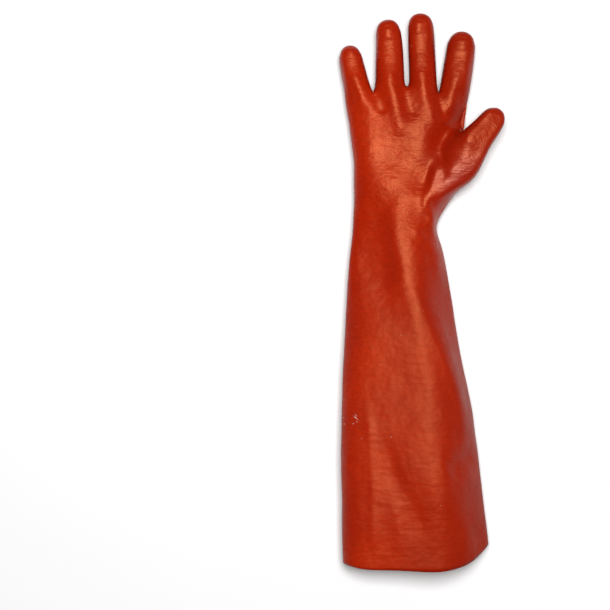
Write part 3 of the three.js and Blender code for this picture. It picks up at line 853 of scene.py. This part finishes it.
def outside_relief(look, place, knit, ripples):
    """Soft hollows, broad and fine ripples, stronger on the hand, and the vinyl's fine peel."""
    patches = look.noise(place, scale=26.0, detail=2.0)
    rippled = look.ranged(patches, 0.38, 0.62, 0.35, 1.0)
    on_hand = look.ranged(look.axis(place, "Y"), -0.1, 0.09, 0.22, 1.0)
    fine = look.maths("SUBTRACT", ripples, 0.5)
    fine = look.maths("MULTIPLY", fine, look.maths("MULTIPLY", rippled, on_hand))
    broad = look.noise(look.stretched(knit, (40.0, 150.0, 90.0)), scale=1.0, detail=1.0)
    relief = look.bumped(look.noise(place, scale=95.0, detail=1.0), depth=0.0007)
    relief = look.bumped(broad, depth=0.0004, normal=relief)
    relief = look.bumped(fine, depth=0.0006, normal=relief)
    peel = look.noise(place, scale=620.0, detail=2.0)
    return look.bumped(peel, depth=0.00012, normal=relief)


def scuff_marks(look, place):
    """A few short white scratches and nicks on the little finger's side of the sleeve."""
    total = None
    for values in SCUFFS:
        scuff = row(SCUFF_COLUMNS, values)
        mapped = look.node("Mapping", {
            "Vector": place,
            "Location": (scuff["x"] * MM, scuff["y"] * MM, 0),
            "Rotation": (0, 0, math.radians(scuff["turn"])),
            "Scale": (scuff["length"] / 2 * MM, scuff["width"] / 2 * MM, 1),
        }, vector_type="TEXTURE").outputs["Vector"]
        flat = look.node("VectorMath", {0: mapped, 1: (1, 1, 0)}, operation="MULTIPLY")
        away = look.node("VectorMath", {0: flat.outputs["Vector"]}, operation="LENGTH")
        mark = look.ranged(away.outputs["Value"], 0.5, 1.2, scuff["strength"], 0.0)
        total = mark if total is None else look.maths("MAXIMUM", total, mark)
    broken = look.ranged(look.noise(place, scale=1500.0, detail=1.0), 0.4, 0.55)
    above = look.ranged(look.axis(place, "Z"), 0.018, 0.02)
    return look.maths("MULTIPLY", look.maths("MULTIPLY", total, broken), above)


def vinyl_inside():
    """The inner face: the same vinyl soaked into the knit, duller and with its fine ribs."""
    look = Shading("vinyl_inside")
    place = look.object_place()
    knit = look.attribute("knit")
    ribs = look.node("TexWave", {
        "Vector": knit, "Scale": 230.0, "Distortion": 1.2, "Detail": 1.0, "Detail Scale": 3.0,
    }, wave_type="BANDS", bands_direction="X").outputs["Fac"]
    loops = look.noise(look.stretched(knit, (700.0, 520.0, 400.0)), scale=1.0, detail=1.0)
    patches = look.ranged(look.noise(place, scale=30.0, detail=3.0), 0.35, 0.65)
    tone = look.mixed(patches, INSIDE_RED, INSIDE_PALE)
    look.into("Base Color", look.mixed(look.ranged(loops, 0.3, 0.7, 0.0, 0.5), tone, INSIDE_DARK))
    look.into("Roughness", 0.8)
    look.into("Specular IOR Level", 0.3)
    relief = look.bumped(ribs, depth=0.0003)
    look.into("Normal", look.bumped(loops, depth=0.0003, normal=relief))
    return look.material


def vinyl_rim():
    """The hem's cut edge, matt and a little brighter, as cut vinyl is."""
    look = Shading("vinyl_rim")
    grain = look.noise(look.object_place(), scale=1400.0, detail=2.0)
    look.into("Base Color", look.mixed(look.ranged(grain, 0.3, 0.7), RIM_RED, BRIGHT_RED))
    look.into("Roughness", 0.6)
    look.into("Normal", look.bumped(grain, depth=0.00015))
    return look.material


def softbox(name, place, aim, size, power):
    bpy.ops.object.light_add(type="AREA", location=place)
    lamp = bpy.context.object
    lamp.name = name
    lamp.data.shape = "RECTANGLE"
    lamp.data.size = size[0]
    lamp.data.size_y = size[1]
    lamp.data.energy = power
    direction = Vector(aim) - Vector(place)
    lamp.rotation_euler = direction.to_track_quat("-Z", "Y").to_euler()


def floor_and_lights():
    below_glove = 0.0002
    bpy.ops.mesh.primitive_plane_add(size=8, location=(0, 0, -below_glove))
    floor = bpy.context.object
    floor.name = "floor"
    material = bpy.data.materials.new("floor_white")
    material.use_nodes = True
    shader = material.node_tree.nodes["Principled BSDF"]
    shader.inputs["Base Color"].default_value = (0.78, 0.78, 0.78, 1)
    shader.inputs["Roughness"].default_value = 0.7
    floor.data.materials.append(material)

    world = bpy.data.worlds.new("studio")
    world.use_nodes = True
    world.node_tree.nodes["Background"].inputs["Color"].default_value = (1, 1, 1, 1)
    world.node_tree.nodes["Background"].inputs["Strength"].default_value = 0.06
    bpy.context.scene.world = world

    softbox("overhead", place=(0, 0.4, 2.6), aim=(0, 0.4, 0), size=(1.2, 1.4), power=98)
    softbox("right_side", place=(1.3, -0.05, 0.3), aim=(0, 0, 0.05), size=(1.6, 0.5), power=1.5)


def photo_camera():
    """Straight above, framed as the photo: its middle pixel and its scale at the glove."""
    pixel_mm = 1.0714
    picture_pixels = 610
    glove_pixel = (422.65, 292.9)
    glove_place = (0.41, -2.0)
    plane_height = 25
    camera_height = 2500
    x = glove_place[0] + (picture_pixels / 2 - glove_pixel[0]) * pixel_mm
    y = glove_place[1] + (glove_pixel[1] - picture_pixels / 2) * pixel_mm
    bpy.ops.object.camera_add(location=(x * MM, y * MM, camera_height * MM), rotation=(0, 0, 0))
    camera = bpy.context.object
    camera.data.sensor_fit = "HORIZONTAL"
    half_width = pixel_mm * picture_pixels / 2
    camera.data.angle = 2 * math.atan(half_width / (camera_height - plane_height))
    camera.data.clip_start = 0.01
    bpy.context.scene.camera = camera


photo_camera()
floor_and_lights()
glove = glove_cage()
apply_modifier(glove, "SUBSURF", levels=3, render_levels=3)
soften_thumb_web(glove)
crease(glove)
undulate(glove)
centre_on_frame(glove)
lay_knit(glove)
for material in (vinyl_outside(), vinyl_inside(), vinyl_rim()):
    glove.data.materials.append(material)
apply_modifier(
    glove, "SOLIDIFY", thickness=WALL, offset=-1, material_offset=1, material_offset_rim=2,
)
bpy.ops.object.select_all(action="DESELECT")
glove.select_set(True)
bpy.context.view_layer.objects.active = glove
bpy.ops.object.shade_smooth()
bpy.context.scene.view_settings.view_transform = "Standard"

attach(glove, "root")
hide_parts("glove_shell")
